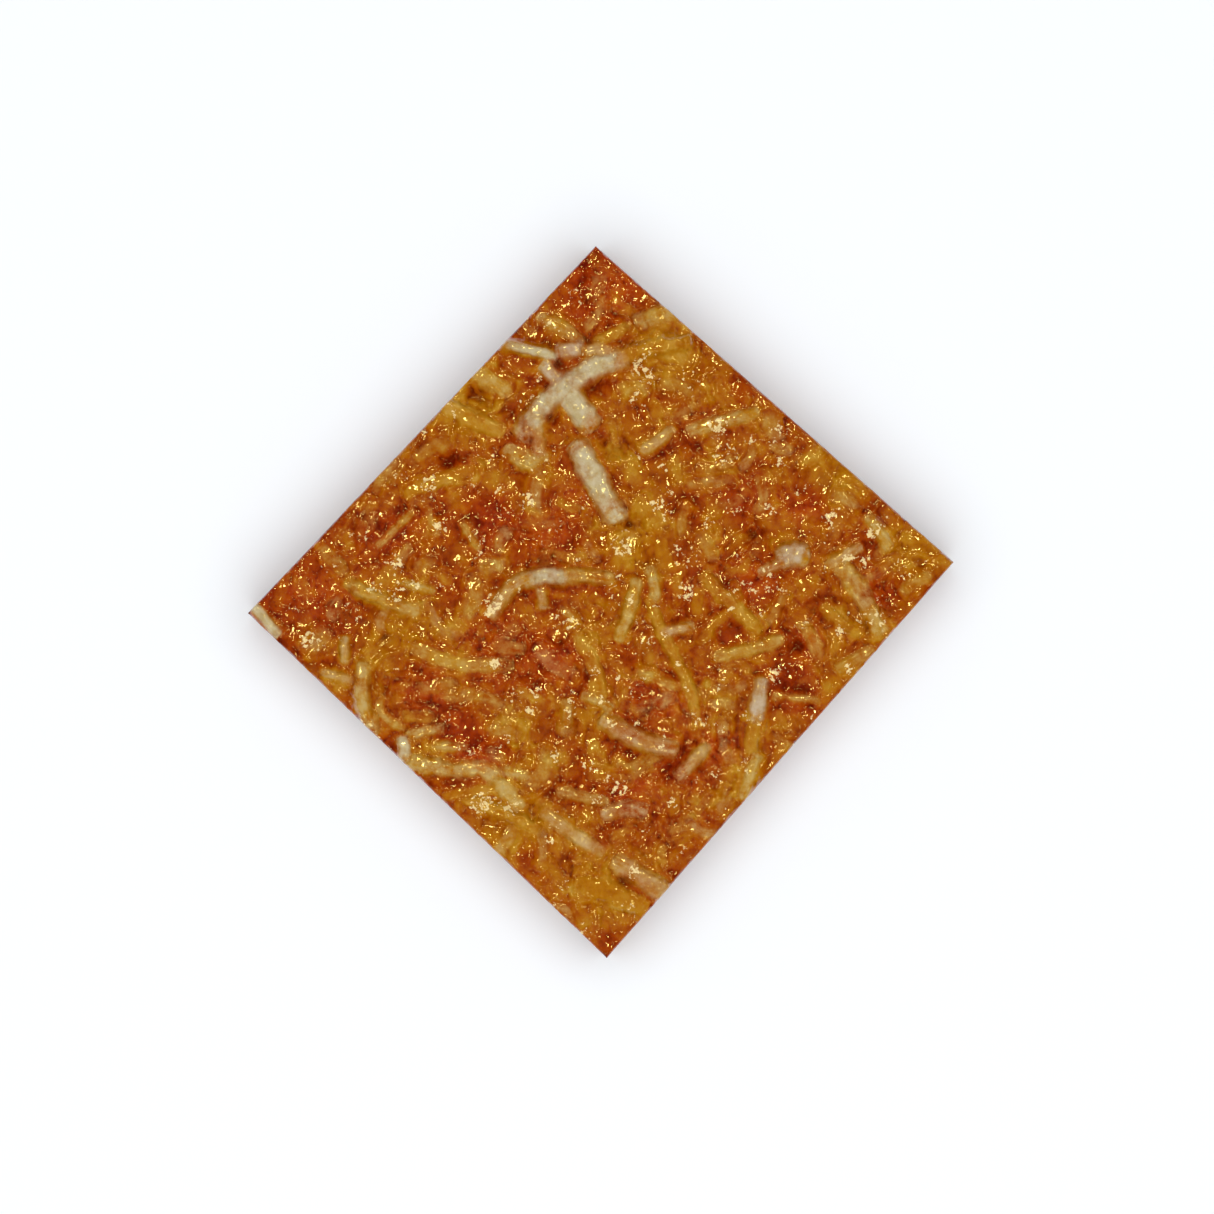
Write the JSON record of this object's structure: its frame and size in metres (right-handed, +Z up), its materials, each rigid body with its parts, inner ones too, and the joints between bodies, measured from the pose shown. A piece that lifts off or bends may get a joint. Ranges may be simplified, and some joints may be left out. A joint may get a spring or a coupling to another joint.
{
  "type": "coconut brittle piece",
  "caption": "Flat diamond-cut piece of amber coconut brittle, with grated coconut shreds standing out of its glossy top and cut off flush along its straight sides.",
  "frame": {"origin": "under the middle of the piece's box, on the surface that it lies on", "axes": "+Z up out of the glossy top, +Y towards the far corner of the diamond, +X towards its right corner"},
  "size_m": [0.0636, 0.0642, 0.0078],
  "materials": {
    "brittle": "glossy amber caramel packed with translucent coconut shreds"
  },
  "bodies": {
    "root": {"brittle": "brittle"}
  },
  "joints": []
}
